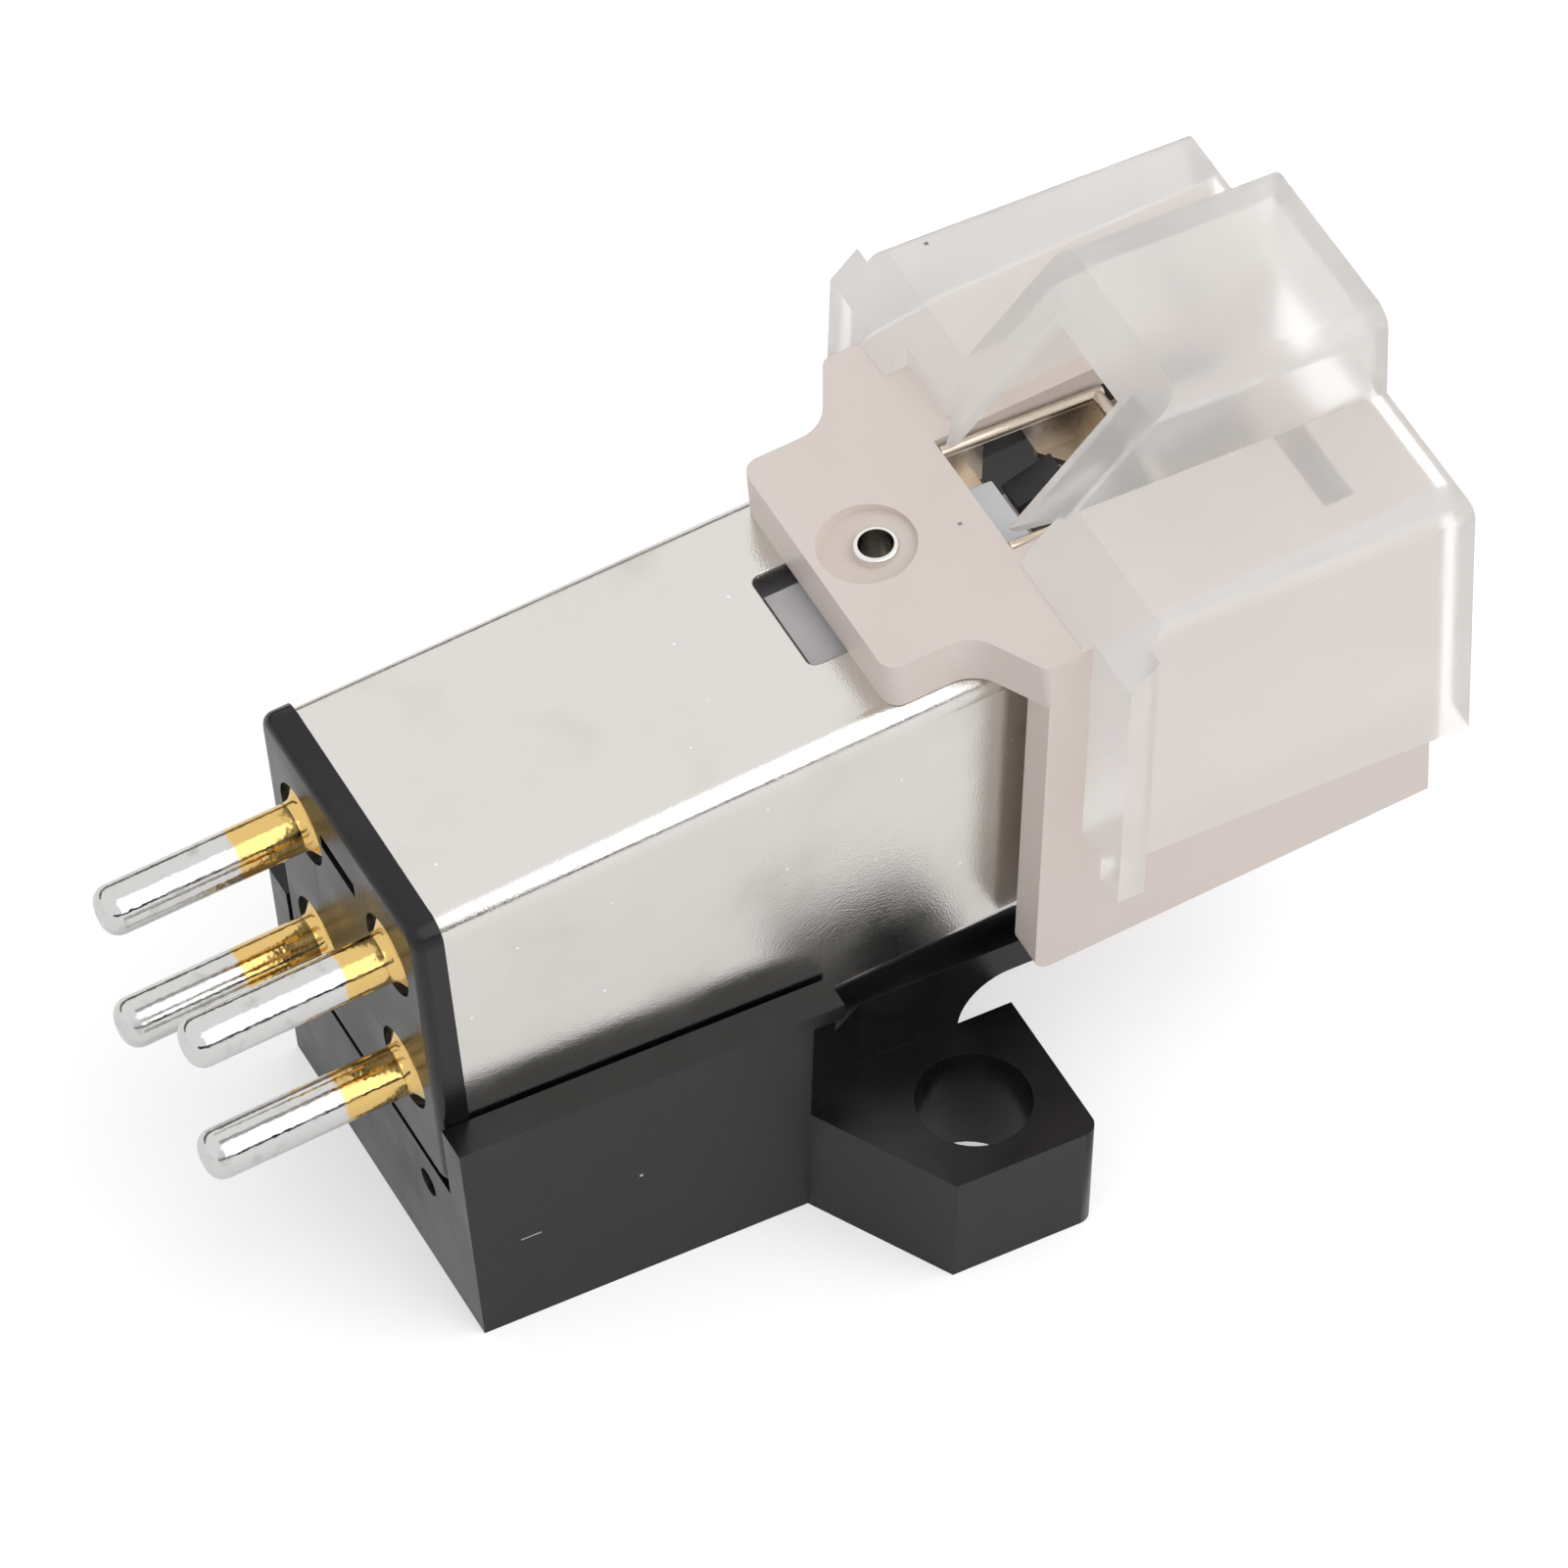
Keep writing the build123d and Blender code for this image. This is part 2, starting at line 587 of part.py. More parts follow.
magnets = []
for side_name, hand in (("left", -1), ("right", 1)):
    with BuildPart() as magnet:
        with BuildSketch(tube_plane.offset(-tube_rear)):
            with Locations((hand * (tube_dia + magnet_width) / 2, 0)):
                Rectangle(magnet_width, magnet_height)
        extrude(amount=magnet_length)
    magnet.part.label = "magnet_" + side_name
    magnets.append(magnet.part)

# Guard: a roof and two skirts over the holder, with a raised tunnel over the stylus
guard_rear = wall_rear - guard_setback
wing_rear = guard_rear - wing_setback
roof_under = tongue_thick + roof_gap
roof_top = deck_height(guard_rear, tongue_thick) + roof_rear
skirt_bottom = roof_top - skirt_depth
tunnel_top = roof_top + tunnel_rise
guard_plane = holder_front_plane.offset(guard_ahead)
guard_front = holder_front_low[0] - guard_ahead
ramp_low = deck_height(guard_rear, roof_under) + roof_ramp_low
slope_rise = sin(radians(tunnel_slope))
slope_run = 1 / tan(radians(tunnel_slope))
ramp_end = guard_rear - (roof_top - ramp_low) * slope_run
tunnel_crest = guard_rear - (tunnel_top - ramp_low) * slope_run
tunnel_clear = tunnel_half - tunnel_wall
with BuildPart() as guard:
    with BuildSketch(Plane(origin=(0, wing_rear, 0), x_dir=(1, 0, 0), z_dir=(0, -1, 0))):
        with BuildLine():
            FilletPolyline((-guard_half, skirt_bottom), (-guard_half, roof_top), (guard_half, roof_top),
                           (guard_half, skirt_bottom), radius=skirt_radius)
            Line((-guard_half, skirt_bottom), (guard_half, skirt_bottom))
        make_face()
    extrude(amount=wing_rear - guard_front)
    plain_block(-holder_half, holder_half, wing_rear, guard_rear, deck_height(guard_rear, 0), roof_top)
    for hand in (-1, 1):
        rib_low, rib_high = sorted((hand * (guard_half - skirt_radius), hand * (guard_half + wing_rib)))
        plain_block(rib_low, rib_high, wing_rear - wing_rib_width, wing_rear, skirt_bottom - wing_tab,
                    roof_top - skirt_radius / 4)
    # Sloping rear of the roof
    with BuildSketch(Plane.YZ):
        with BuildLine():
            Polyline((guard_rear, ramp_low), (ramp_end, roof_top), (ramp_end, reach), (guard_rear, reach),
                     close=True)
        make_face()
    extrude(amount=reach, both=True, mode=Mode.SUBTRACT)
    # Tunnel, which carries the slope on up to its top
    plain_block(-tunnel_half, tunnel_half, -reach, reach, 0, reach, mode=Mode.SUBTRACT)
    with BuildSketch(Plane.YZ):
        with BuildLine():
            Polyline((guard_rear, deck_height(guard_rear, roof_under)), (guard_rear, ramp_low),
                     (tunnel_crest, tunnel_top), (guard_front, tunnel_top),
                     (guard_front, deck_height(guard_front, roof_under)), close=True)
        make_face()
    extrude(amount=tunnel_half, both=True)
    fillet(guard.faces().sort_by(Axis.Z)[-1].edges().filter_by(Axis.Y), tunnel_radius)
    tunnel_inside = guard_front + tunnel_front_wall
    plain_block(-tunnel_clear, tunnel_clear, tunnel_inside, reach, 0, tunnel_top - tunnel_roof,
                mode=Mode.SUBTRACT)
    plain_block(0, roof_step_across, guard_rear - roof_step, reach, 0, tunnel_top - tunnel_roof,
                mode=Mode.SUBTRACT)
    # Pointed blades in the slope, on both sides of the stylus
    blade_root = (roof_top - ramp_low) / slope_rise
    blade_top = (tunnel_top - tunnel_roof / 2 - ramp_low) / slope_rise
    blade_normal = (0, slope_rise, cos(radians(tunnel_slope)))
    with BuildSketch(Plane(origin=(0, guard_rear, ramp_low), x_dir=(1, 0, 0), z_dir=blade_normal)):
        with BuildLine():
            Polyline((blade_inner, -blade_tip), (tunnel_half, -blade_root), (tunnel_half, -blade_top),
                     (blade_inner, -blade_top), close=True)
        make_face()
        mirror(about=Plane.YZ)
    extrude(amount=-blade_thick)
    block(-skirt_inner, skirt_inner, -reach, reach, -reach, roof_under, mode=Mode.SUBTRACT)
    split(bisect_by=guard_plane, keep=Keep.BOTTOM)
guard.part.label = "stylus_guard"

os.makedirs("parts", exist_ok=True)
fixed_parts = [base.part, can.part, plate.part, carrier.part, yoke.part] + pins + coil_parts
holder_parts = [holder.part, eyelet.part, bracket.part, plug.part, rubber.part]
moving_parts = [tube.part, stylus.part, guard.part] + magnets
for piece in fixed_parts + holder_parts + moving_parts:
    export_step(piece, "parts/" + piece.label + ".step")
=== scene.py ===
import bpy
from math import cos, radians, sin
from mathutils import Matrix, Vector

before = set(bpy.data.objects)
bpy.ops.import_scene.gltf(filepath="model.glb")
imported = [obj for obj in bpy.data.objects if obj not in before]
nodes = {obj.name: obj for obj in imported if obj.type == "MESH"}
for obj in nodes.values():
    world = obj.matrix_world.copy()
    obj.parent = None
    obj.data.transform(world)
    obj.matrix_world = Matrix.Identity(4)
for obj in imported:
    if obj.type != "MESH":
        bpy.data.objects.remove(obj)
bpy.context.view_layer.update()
mm = 0.001
print("frame loaded,", len(nodes), "nodes")

# The generator is tilted on its base, so finishes that run along it start at the can's rear upper edge
generator = {"tilt": 5.6, "rear": 13.06, "top": 14.17}    # degrees, then millimetres
tiltSin = sin(radians(generator["tilt"]))
tiltCos = cos(radians(generator["tilt"]))
canCorner = Vector((0, generator["rear"] * mm, generator["top"] * mm))
canForward = Vector((0, -tiltCos, tiltSin))


# Small helpers for node trees
def link(tree, output, target):
    tree.links.new(output, target)


def feed(tree, target, value):
    # Another node's output is linked, a plain value is set
    if isinstance(value, bpy.types.NodeSocket):
        link(tree, value, target)
    else:
        target.default_value = value


def addNode(tree, kind, **inputs):
    node = tree.nodes.new(kind)
    for name, value in inputs.items():
        feed(tree, node.inputs[name], value)
    return node


def mathNode(tree, operation, first, second):
    node = tree.nodes.new("ShaderNodeMath")
    node.operation = operation
    feed(tree, node.inputs[0], first)
    feed(tree, node.inputs[1], second)
    return node.outputs[0]


def vectorNode(tree, operation, first, second=None):
    node = tree.nodes.new("ShaderNodeVectorMath")
    node.operation = operation
    feed(tree, node.inputs[0], first)
    if second is not None:
        feed(tree, node.inputs[1], second)
    return node


def mixColour(tree, factor, first, second):
    node = tree.nodes.new("ShaderNodeMix")
    node.data_type = "RGBA"
    for index, value in ((0, factor), (6, first), (7, second)):    # the sockets of a colour mix
        feed(tree, node.inputs[index], value)
    return node.outputs[2]


def rampNode(tree, value, span, result=(0.0, 1.0)):
    node = addNode(tree, "ShaderNodeMapRange", **{
        "Value": value, "From Min": span[0], "From Max": span[1], "To Min": result[0], "To Max": result[1]})
    node.interpolation_type = "SMOOTHSTEP"
    return node.outputs["Result"]


def objectPlace(tree):
    return tree.nodes.new("ShaderNodeTexCoord").outputs["Object"]


def noiseNode(tree, scale, detail, roughness):
    noise = addNode(tree, "ShaderNodeTexNoise", Vector=objectPlace(tree), Scale=scale, Detail=detail,
                    Roughness=roughness)
    return noise.outputs["Fac"]


def newGroup(name, inputs, outputs):
    tree = bpy.data.node_groups.new(name, "ShaderNodeTree")
    for label, value in inputs.items():
        socket = tree.interface.new_socket(label, in_out="INPUT", socket_type="NodeSocketFloat")
        socket.default_value = value
    for label in outputs:
        tree.interface.new_socket(label, in_out="OUTPUT", socket_type="NodeSocketFloat")
    return tree, tree.nodes.new("NodeGroupInput"), tree.nodes.new("NodeGroupOutput")


def useGroup(tree, group, inputs):
    node = tree.nodes.new("ShaderNodeGroup")
    node.node_tree = group
    for name, value in inputs.items():
        node.inputs[name].default_value = value
    return node


# Fine moulded or blasted grain: a height for bump and a slow drift for colour and roughness
fineGrain = {"inputs": {"Scale": 9000.0, "Drift Scale": 500.0},
             "height": {"detail": 1.0, "roughness": 0.6},
             "drift": {"detail": 2.0, "roughness": 0.5}}


def makeGrain():
    tree, source, sink = newGroup("fineGrain", fineGrain["inputs"], ("Height", "Drift"))
    link(tree, noiseNode(tree, source.outputs["Scale"], **fineGrain["height"]), sink.inputs["Height"])
    link(tree, noiseNode(tree, source.outputs["Drift Scale"], **fineGrain["drift"]), sink.inputs["Drift"])
    return tree


# Sparse specks: small cells, of which only a few are chosen; real dust on the black plastic, painted glints on
# the nickel
dustAndGlintSpecks = {"Scale": 900.0, "Share": 0.06, "Size": 0.22}


def makeSpecks():
    tree, source, sink = newGroup("dustAndGlintSpecks", dustAndGlintSpecks, ("Mask",))
    cells = addNode(tree, "ShaderNodeTexVoronoi", Vector=objectPlace(tree), Scale=source.outputs["Scale"])
    parts = addNode(tree, "ShaderNodeSeparateColor", Color=cells.outputs["Color"])
    chosen = mathNode(tree, "LESS_THAN", parts.outputs[0], source.outputs["Share"])
    reach = mathNode(tree, "MULTIPLY", source.outputs["Size"], parts.outputs[1])
    near = mathNode(tree, "LESS_THAN", cells.outputs["Distance"], reach)
    link(tree, mathNode(tree, "MULTIPLY", chosen, near), sink.inputs["Mask"])
    return tree


grainGroup = makeGrain()
speckGroup = makeSpecks()
print("shared effects made")


def newMaterial(name, inputs):
    material = bpy.data.materials.new(name)
    material.use_nodes = True
    tree = material.node_tree
    shader = tree.nodes["Principled BSDF"]
    for label, value in inputs.items():
        shader.inputs[label].default_value = value
    return material, tree, shader


def newFinish(name, finish):
    # What the finishes share: grain, roughness that follows its drift and, where it is set, bump
    material, tree, shader = newMaterial(name, finish["shader"])
    grain = useGroup(tree, grainGroup, finish["grain"])
    drift = grain.outputs["Drift"]
    link(tree, rampNode(tree, drift, finish["driftSpan"], finish["roughness"]), shader.inputs["Roughness"])
    if "bump" in finish:
        bump = addNode(tree, "ShaderNodeBump", Height=grain.outputs["Height"], **finish["bump"])
        link(tree, bump.outputs[0], shader.inputs["Normal"])
    return material, tree, drift, shader.inputs["Base Color"]


def alongCan(tree):
    # Distance along the generator from the can's rear edge, in metres
    dot = vectorNode(tree, "DOT_PRODUCT", objectPlace(tree), canForward)
    return mathNode(tree, "SUBTRACT", dot.outputs["Value"], canCorner.dot(canForward))


def insideBox(tree, low, high):
    # Mask of a box given in millimetres
    parts = addNode(tree, "ShaderNodeSeparateXYZ", Vector=objectPlace(tree))
    mask = None
    for axis in range(3):
        above = mathNode(tree, "GREATER_THAN", parts.outputs[axis], low[axis] * mm)
        below = mathNode(tree, "LESS_THAN", parts.outputs[axis], high[axis] * mm)
        both = mathNode(tree, "MULTIPLY", above, below)
        mask = both if mask is None else mathNode(tree, "MULTIPLY", mask, both)
    return mask


# Black moulded base and terminal plate
blackMoulding = {
    "colour": (0.006, 0.006, 0.0065, 1), "worn": (0.014, 0.014, 0.015, 1), "wornSpan": (0.5, 0.8),
    "dust": (0.5, 0.5, 0.48, 1), "specks": {"Scale": 500.0, "Share": 0.04, "Size": 0.035},
    "marks": (((-5.1, 10.92, 3.005), (-4.9, 11.468, 3.04)), ((-5.1, 8.22, 3.61), (-4.9, 8.3, 3.69))),
    "grain": {"Scale": 7000.0, "Drift Scale": 350.0}, "driftSpan": (0.3, 0.7), "roughness": (0.21, 0.35),
    "bump": {"Strength": 0.12, "Distance": 0.02 * mm}, "shader": {"Specular IOR Level": 0.36},
}


def makeBlackPlastic():
    finish = blackMoulding
    material, tree, drift, colour = newFinish("blackMoulding", finish)
    worn = mixColour(tree, rampNode(tree, drift, finish["wornSpan"]), finish["colour"], finish["worn"])
    pale = useGroup(tree, speckGroup, finish["specks"]).outputs["Mask"]
    for low, high in finish["marks"]:
        pale = mathNode(tree, "MAXIMUM", pale, insideBox(tree, low, high))
    link(tree, mixColour(tree, pale, worn, finish["dust"]), colour)
    return material


# Satin nickel can
satinNickel = {
    "colour": (0.74, 0.715, 0.68, 1), "stain": (0.62, 0.585, 0.53, 1),
    "stainSpan": (0.5, 0.85), "stainShare": (0.0, 0.6),
    "paintedGlint": (0.98, 0.97, 0.95, 1), "specks": {"Scale": 1700.0, "Share": 0.4, "Size": 0.09},
    "grain": {"Scale": 20000.0, "Drift Scale": 420.0}, "driftSpan": (0.25, 0.75), "roughness": (0.14, 0.23),
    "bump": {"Strength": 0.6, "Distance": 0.007 * mm}, "shader": {"Metallic": 1.0},
}


def makeNickel():
    finish = satinNickel
    material, tree, drift, colour = newFinish("satinNickel", finish)
    stain = rampNode(tree, drift, finish["stainSpan"], finish["stainShare"])
    base = mixColour(tree, stain, finish["colour"], finish["stain"])
    # The bright specks on the nickel are painted glints
    specks = useGroup(tree, speckGroup, finish["specks"])
    link(tree, mixColour(tree, specks.outputs["Mask"], base, finish["paintedGlint"]), colour)
    return material


# Terminal pins: gold by the collar, tinned towards the tip, with a wavy line between (millimetres)
pinPlating = {
    "gold": (0.78, 0.53, 0.19, 1), "tin": (0.66, 0.655, 0.645, 1), "stain": (0.42, 0.42, 0.41, 1),
    "stainSpan": (0.55, 0.75), "stainShare": (0.0, 0.55),
    "goldEnd": {"pin_upper_left": -1.95, "pin_upper_right": -2.5, "pin_lower_left": -2.45,
                "pin_lower_right": -2.8},
    "softEdge": 0.12, "waveHeight": 0.3, "wave": {"scale": 1400.0, "detail": 3.0, "roughness": 0.55},
    "grain": {"Scale": 5000.0, "Drift Scale": 1800.0}, "driftSpan": (0.3, 0.8), "roughness": (0.08, 0.22),
    "bump": {"Strength": 0.35, "Distance": 0.02 * mm}, "shader": {"Metallic": 1.0},
}


def makePinPlating(nodeName):
    finish = pinPlating
    material, tree, drift, colour = newFinish("pinPlating." + nodeName, finish)
    wave = mathNode(tree, "MULTIPLY", noiseNode(tree, **finish["wave"]), finish["waveHeight"] * mm)
    line = mathNode(tree, "ADD", alongCan(tree), wave)
    goldEnd = finish["goldEnd"][nodeName] * mm
    gold = rampNode(tree, line, (goldEnd, goldEnd + finish["softEdge"] * mm))
    stain = rampNode(tree, drift, finish["stainSpan"], finish["stainShare"])
    tin = mixColour(tree, stain, finish["tin"], finish["stain"])
    link(tree, mixColour(tree, gold, tin, finish["gold"]), colour)
    return material


# Grey-pink stylus holder
pinkMoulding = {
    "colour": (0.775, 0.69, 0.645, 1), "shade": (0.725, 0.635, 0.59, 1),
    "dark": (0.02, 0.018, 0.017, 1),
    "hollows": (((-1.94, -8.0, 10.0), (1.94, -2.9, 16.92)), ((4.4, -7.6, 11.0), (4.6, -5.2, 13.2))),
    "dirt": (0.3, 0.27, 0.26, 1), "dot": ((-0.65, -2.3, 16.9), (-0.55, -2.2, 17.2)),
    "grain": {"Scale": 6000.0, "Drift Scale": 300.0}, "driftSpan": (0.3, 0.7), "roughness": (0.37, 0.49),
    "bump": {"Strength": 0.06, "Distance": 0.02 * mm}, "shader": {},
}


def makePinkPlastic():
    finish = pinkMoulding
    material, tree, drift, colour = newFinish("pinkMoulding", finish)
    base = mixColour(tree, drift, finish["colour"], finish["shade"])
    # The pocket under the bracket and the wall seen below its notch are deep in shade
    for low, high in finish["hollows"]:
        base = mixColour(tree, insideBox(tree, low, high), base, finish["dark"])
    link(tree, mixColour(tree, insideBox(tree, *finish["dot"]), base, finish["dirt"]), colour)
    return material


# Frosted guard
frostedGuard = {
    "colour": (0.915, 0.9, 0.882, 1), "clearer": (0.95, 0.936, 0.92, 1),
    "dirt": (0.12, 0.11, 0.1, 1), "speck": ((6.35, -5.15, 18.5), (6.44, -5.05, 18.8)),
    "grain": {"Scale": 8000.0, "Drift Scale": 260.0}, "driftSpan": (0.25, 0.75), "roughness": (0.32, 0.4),
    "shader": {"Transmission Weight": 0.68, "IOR": 1.19, "Specular IOR Level": 0.15},
}


def makeFrosted():
    finish = frostedGuard
    material, tree, drift, colour = newFinish("frostedGuard", finish)
    base = mixColour(tree, drift, finish["colour"], finish["clearer"])
    link(tree, mixColour(tree, insideBox(tree, *finish["speck"]), base, finish["dirt"]), colour)
    return material


# Plain metals and plastics of the small pieces
smallFinishes = {
    "whiteMoulding": {"colour": (0.78, 0.8, 0.83), "metallic": 0.0, "roughness": 0.4},
    "greyMoulding": {"colour": (0.76, 0.75, 0.77), "metallic": 0.0, "roughness": 0.4},
    "bobbinMoulding": {"colour": (0.62, 0.58, 0.5), "metallic": 0.0, "roughness": 0.45},
    "copperWinding": {"colour": (0.62, 0.26, 0.1), "metallic": 1.0, "roughness": 0.35},
    "softIron": {"colour": (0.4, 0.4, 0.41), "metallic": 1.0, "roughness": 0.4},
    "brightSheet": {"colour": (0.82, 0.72, 0.61), "metallic": 1.0, "roughness": 0.3},
    "blackRubber": {"colour": (0.02, 0.02, 0.022), "metallic": 0.0, "roughness": 0.7},
    "cantileverTube": {"colour": (0.75, 0.76, 0.78), "metallic": 1.0, "roughness": 0.22},
    "diamondShank": {"colour": (0.82, 0.82, 0.8), "metallic": 0.0, "roughness": 0.1},
    "magnetBlock": {"colour": (0.06, 0.06, 0.065), "metallic": 0.6, "roughness": 0.45},
}
smallShared = {"darker": 0.82, "smoothest": 0.85, "roughest": 1.15, "driftSpan": (0.3, 0.7),
               "grain": {"Scale": 9000.0, "Drift Scale": 900.0},
               "bump": {"Strength": 0.08, "Distance": 0.01 * mm}}


def makeSmallFinish(name):
    own = smallFinishes[name]
    spread = (own["roughness"] * smallShared["smoothest"], own["roughness"] * smallShared["roughest"])
    material, tree, drift, colour = newFinish(name, {
        "shader": {"Metallic": own["metallic"]}, "roughness": spread, "driftSpan": smallShared["driftSpan"],
        "grain": smallShared["grain"], "bump": smallShared["bump"]})
    darker = tuple(smallShared["darker"] * part for part in own["colour"])
    link(tree, mixColour(tree, drift, own["colour"] + (1,), darker + (1,)), colour)
    return material


# Eyelet: bright rim, bore painted darker as shade inside the hole (millimetres)
eyeletMetal = {
    "rim": (0.84, 0.82, 0.79, 1), "bore": (0.3, 0.28, 0.26, 1),
    "place": (0, -0.3365, 16.9104), "boreRadius": 0.445, "softEdge": 0.01,
    "grain": {"Scale": 9000.0, "Drift Scale": 2500.0}, "driftSpan": (0.3, 0.7), "roughness": (0.14, 0.28),
    "shader": {"Metallic": 1.0},
}


def makeEyelet():
    finish = eyeletMetal
    material, tree, drift, colour = newFinish("eyeletMetal", finish)
    # Distance from the eyelet's axis
    offset = vectorNode(tree, "SUBTRACT", objectPlace(tree), Vector(finish["place"]) * mm)
    across = vectorNode(tree, "CROSS_PRODUCT", offset.outputs[0], (0, tiltSin, tiltCos))
    radius = vectorNode(tree, "LENGTH", across.outputs[0]).outputs["Value"]
    edge = finish["boreRadius"]
    # Inside the bore radius the colour is painted shade
    rim = rampNode(tree, radius, ((edge - finish["softEdge"]) * mm, edge * mm))
    link(tree, mixColour(tree, rim, finish["bore"], finish["rim"]), colour)
    return material


# Which finish each node gets, and how many millimetres its moulded or folded edges are eased
blackPlastic = makeBlackPlastic()
small = {name: makeSmallFinish(name) for name in smallFinishes}
nodeFinish = {
    "mounting_base": (blackPlastic, 0.14),
    "terminal_plate": (blackPlastic, 0.04),
    "shield_can": (makeNickel(), 0.05),
    "stylus_holder": (makePinkPlastic(), 0.11),
    "stylus_guard": (makeFrosted(), 0.07),
    "coil_carrier": (small["greyMoulding"], 0.05),
    "damper_plug": (small["whiteMoulding"], 0.05),
    "holder_eyelet": (makeEyelet(), 0.0),
    "suspension_bracket": (small["brightSheet"], 0.0),
    "rubber_damper": (small["blackRubber"], 0.05),
    "cantilever": (small["cantileverTube"], 0.0),
    "stylus_tip": (small["diamondShank"], 0.0),
    "rear_yoke": (small["softIron"], 0.03),
}
for side in ("left", "right"):
    nodeFinish["coil_bobbin_" + side] = (small["bobbinMoulding"], 0.04)
    nodeFinish["coil_winding_" + side] = (small["copperWinding"], 0.04)
    nodeFinish["pole_piece_" + side] = (small["softIron"], 0.03)
    nodeFinish["magnet_" + side] = (small["magnetBlock"], 0.03)
for pinName in pinPlating["goldEnd"]:
    nodeFinish[pinName] = (makePinPlating(pinName), 0.0)
easedEdges = {"weldReach": 0.002, "segments": 3, "sharpest": 35}    # millimetres, count, degrees


def finishNode(name, material, easing):
    piece = nodes[name]
    piece.data.materials.clear()
    piece.data.materials.append(material)
    if easing:
        weld = piece.modifiers.new("weld", "WELD")
        weld.merge_threshold = easedEdges["weldReach"] * mm
        bevel = piece.modifiers.new("easedEdges", "BEVEL")
        bevel.width = easing * mm
        bevel.segments = easedEdges["segments"]
        bevel.limit_method = "ANGLE"
        bevel.angle_limit = radians(easedEdges["sharpest"])
        bevel.harden_normals = True


for nodeName, (material, easing) in nodeFinish.items():
    finishNode(nodeName, material, easing)
nodes["stylus_guard"].visible_shadow = False    # thin frosted walls let light on to what they cover
print("finishes set on", len(nodeFinish), "nodes")


def addSheet(name, corners, material):
    mesh = bpy.data.meshes.new(name)
    mesh.from_pydata(corners, [], [(0, 1, 2, 3)])
    mesh.materials.append(material)
    sheet = bpy.data.objects.new(name, mesh)
    bpy.context.scene.collection.objects.link(sheet)
    return sheet


# White floor, lifted for the rays that see it directly, in a reflection or through the guard
floorPaper = {"size": 1.0, "colour": (0.8, 0.8, 0.8, 1),
              "lift": {"Camera": 0.45, "Glossy": 0.24, "Transmission": 0.75}}


def makeFloor():
    material, tree, shader = newMaterial("floorPaper", {})
    tree.nodes.remove(shader)
    path = tree.nodes.new("ShaderNodeLightPath")
    strength = None
    for ray, lift in floorPaper["lift"].items():
        part = mathNode(tree, "MULTIPLY", path.outputs["Is " + ray + " Ray"], lift)
        strength = part if strength is None else mathNode(tree, "MAXIMUM", strength, part)
    paper = addNode(tree, "ShaderNodeBsdfDiffuse", Color=floorPaper["colour"])
    glow = addNode(tree, "ShaderNodeEmission", Strength=strength)
    both = tree.nodes.new("ShaderNodeAddShader")
    link(tree, paper.outputs[0], both.inputs[0])
    link(tree, glow.outputs[0], both.inputs[1])
    link(tree, both.outputs[0], tree.nodes["Material Output"].inputs["Surface"])
    half = floorPaper["size"] / 2
    floor = addSheet("floor", [(-half, -half, 0), (half, -half, 0), (half, half, 0), (-half, half, 0)], material)


# Dark cards beside the set, out of the picture, which give round metal its dark streaks
cards = {
    "nearCard": {"across": -0.6, "half": 0.7, "low": 0.17, "high": 0.29,
                 "shader": {"Base Color": (0.02, 0.02, 0.02, 1), "Roughness": 0.9}},
    "farCard": {"across": 0.6, "half": 0.7, "low": 0.02, "high": 0.2,
                "shader": {"Base Color": (0.2, 0.18, 0.16, 1), "Roughness": 0.9}},
}


def makeCard(name, card):
    material = newMaterial(name, card["shader"])[0]
    across, half, low, high = card["across"], card["half"], card["low"], card["high"]
    sheet = addSheet(name, [(across, -half, low), (across, half, low), (across, half, high),
                            (across, -half, high)], material)
    for rays in ("visible_camera", "visible_diffuse", "visible_transmission", "visible_shadow"):
        setattr(sheet, rays, False)    # only reflections show it


# White surroundings, dimmer as a light than as they are seen
surroundings = {"colour": (1, 1, 1, 1), "ambient": 0.685, "backdrop": 1.0}


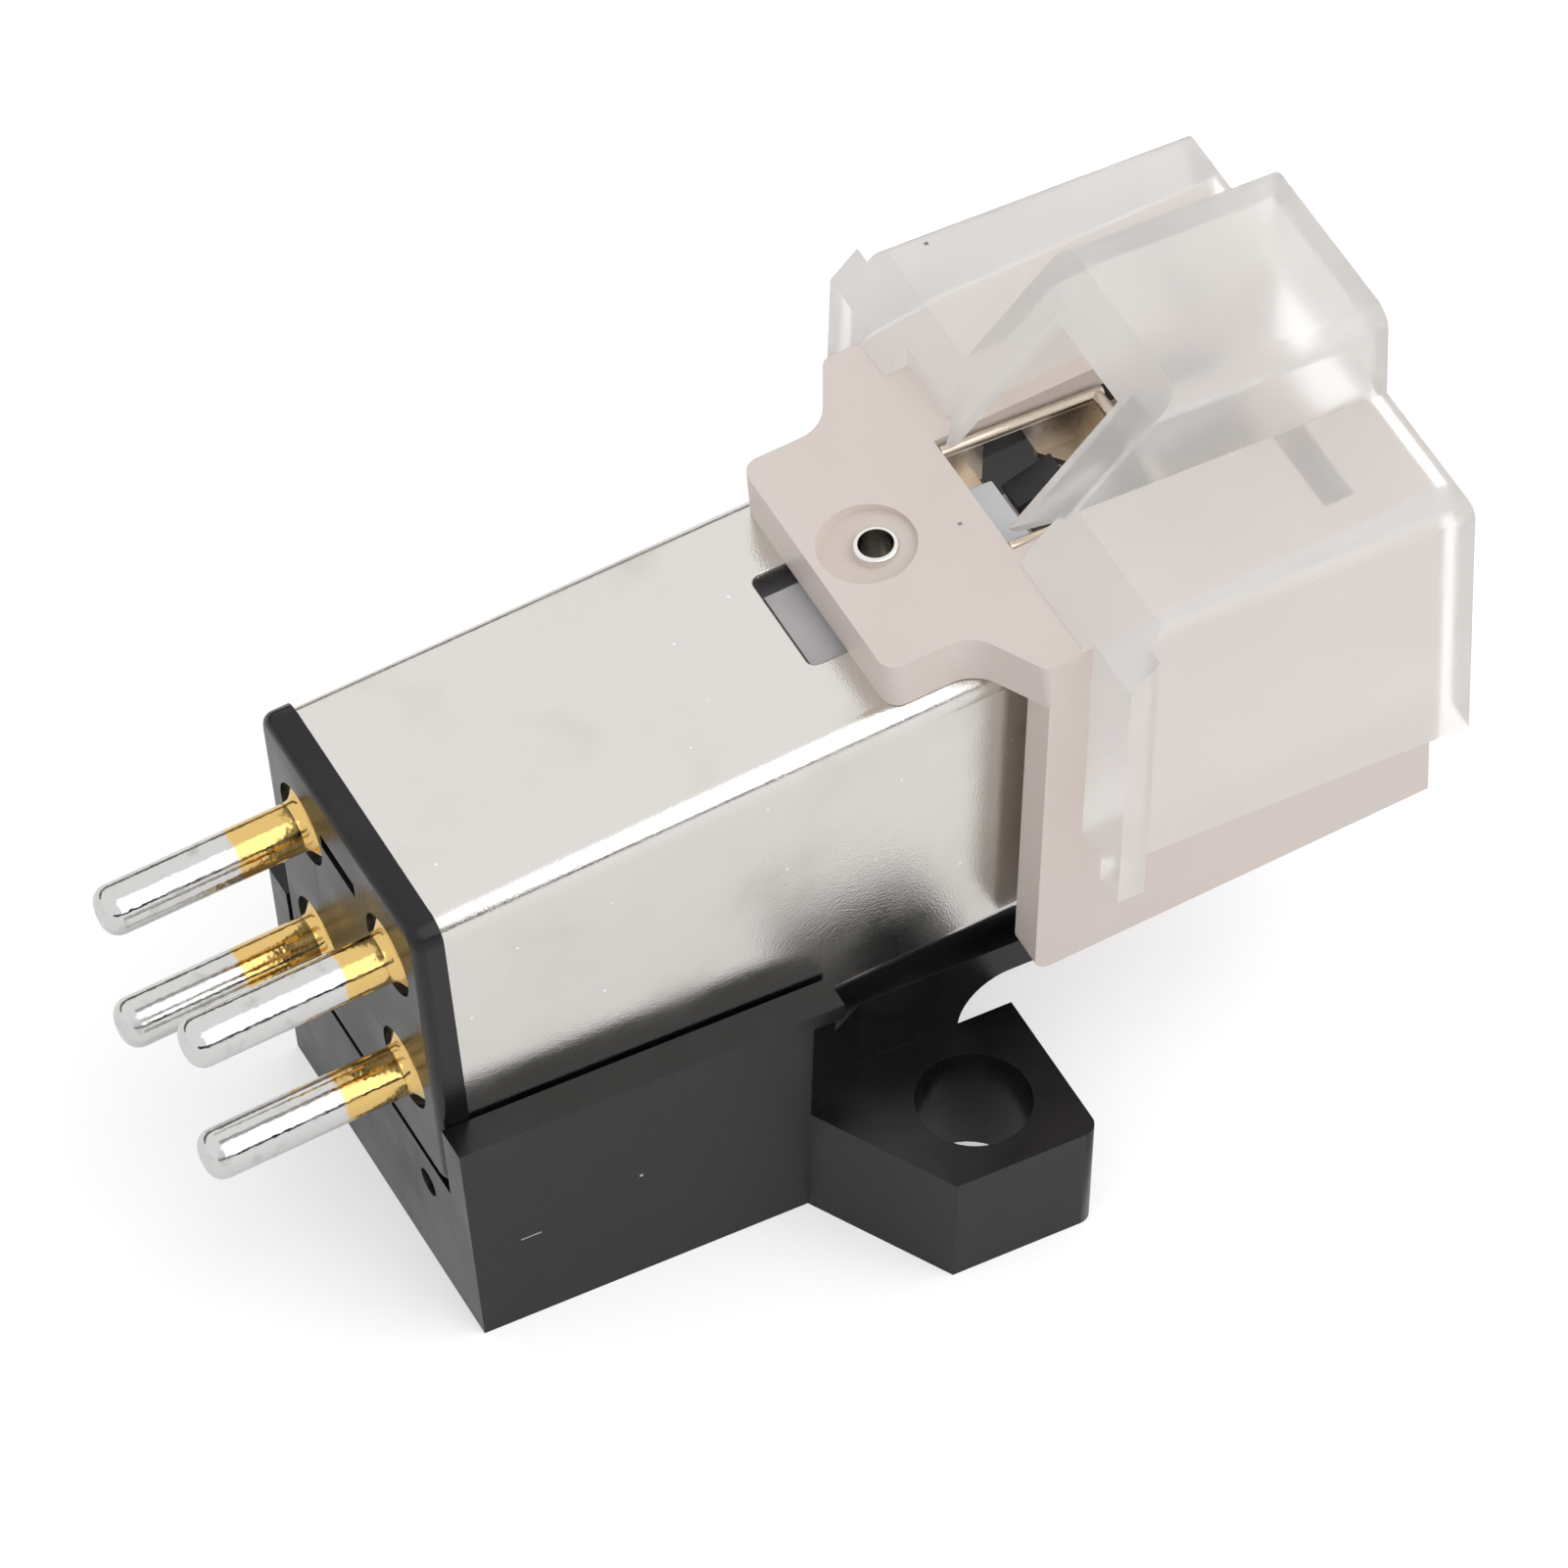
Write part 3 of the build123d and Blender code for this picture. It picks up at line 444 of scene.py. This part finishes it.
def makeWorld():
    world = bpy.data.worlds.new("studio")
    bpy.context.scene.world = world
    world.use_nodes = True
    tree = world.node_tree
    tree.nodes.clear()
    path = tree.nodes.new("ShaderNodeLightPath")
    seen = mathNode(tree, "MAXIMUM", path.outputs["Is Camera Ray"], path.outputs["Is Glossy Ray"])
    seen = mathNode(tree, "MAXIMUM", seen, path.outputs["Is Transmission Ray"])
    mix = tree.nodes.new("ShaderNodeMixShader")
    link(tree, seen, mix.inputs[0])
    for index, use in ((1, "ambient"), (2, "backdrop")):
        shade = addNode(tree, "ShaderNodeBackground", Color=surroundings["colour"], Strength=surroundings[use])
        link(tree, shade.outputs[0], mix.inputs[index])
    addNode(tree, "ShaderNodeOutputWorld", Surface=mix.outputs[0])


# One large soft lamp in front, to the left and above
keyLamp = {"place": (-0.337, -0.209, 0.516), "target": (0, 0, 0.01), "size": 0.75, "energy": 1.7}


def makeLamp():
    light = bpy.data.lights.new("keyLamp", "AREA")
    light.shape = "SQUARE"
    light.size = keyLamp["size"]
    light.energy = keyLamp["energy"]
    lamp = bpy.data.objects.new("keyLamp", light)
    lamp.location = keyLamp["place"]
    lamp.rotation_euler = (Vector(keyLamp["target"]) - lamp.location).to_track_quat("-Z", "Y").to_euler()
    lamp.visible_transmission = False    # not seen through the guard
    bpy.context.scene.collection.objects.link(lamp)


# The photograph's view: a long lens from behind, to the left and above
photoCamera = {"place": (-0.15899, 0.09166, 0.22086), "lens": 269.83, "sensor": 36.0, "clip": (0.01, 20.0),
               "right": (-0.47007, -0.88240, 0.02112), "up": (0.67474, -0.34382, 0.65312),
               "back": (-0.56903, 0.32125, 0.75698)}


def makeCamera():
    data = bpy.data.cameras.new("photoCamera")
    data.lens = photoCamera["lens"]
    data.sensor_width = photoCamera["sensor"]
    data.clip_start, data.clip_end = photoCamera["clip"]
    camera = bpy.data.objects.new("photoCamera", data)
    axes = Matrix((photoCamera["right"], photoCamera["up"], photoCamera["back"])).transposed()
    camera.matrix_world = Matrix.Translation(photoCamera["place"]) @ axes.to_4x4()
    bpy.context.scene.collection.objects.link(camera)
    bpy.context.scene.camera = camera


makeFloor()
for cardName, card in cards.items():
    makeCard(cardName, card)
makeWorld()
makeLamp()
makeCamera()
bpy.context.scene.view_settings.view_transform = "Standard"
print("studio and camera set")
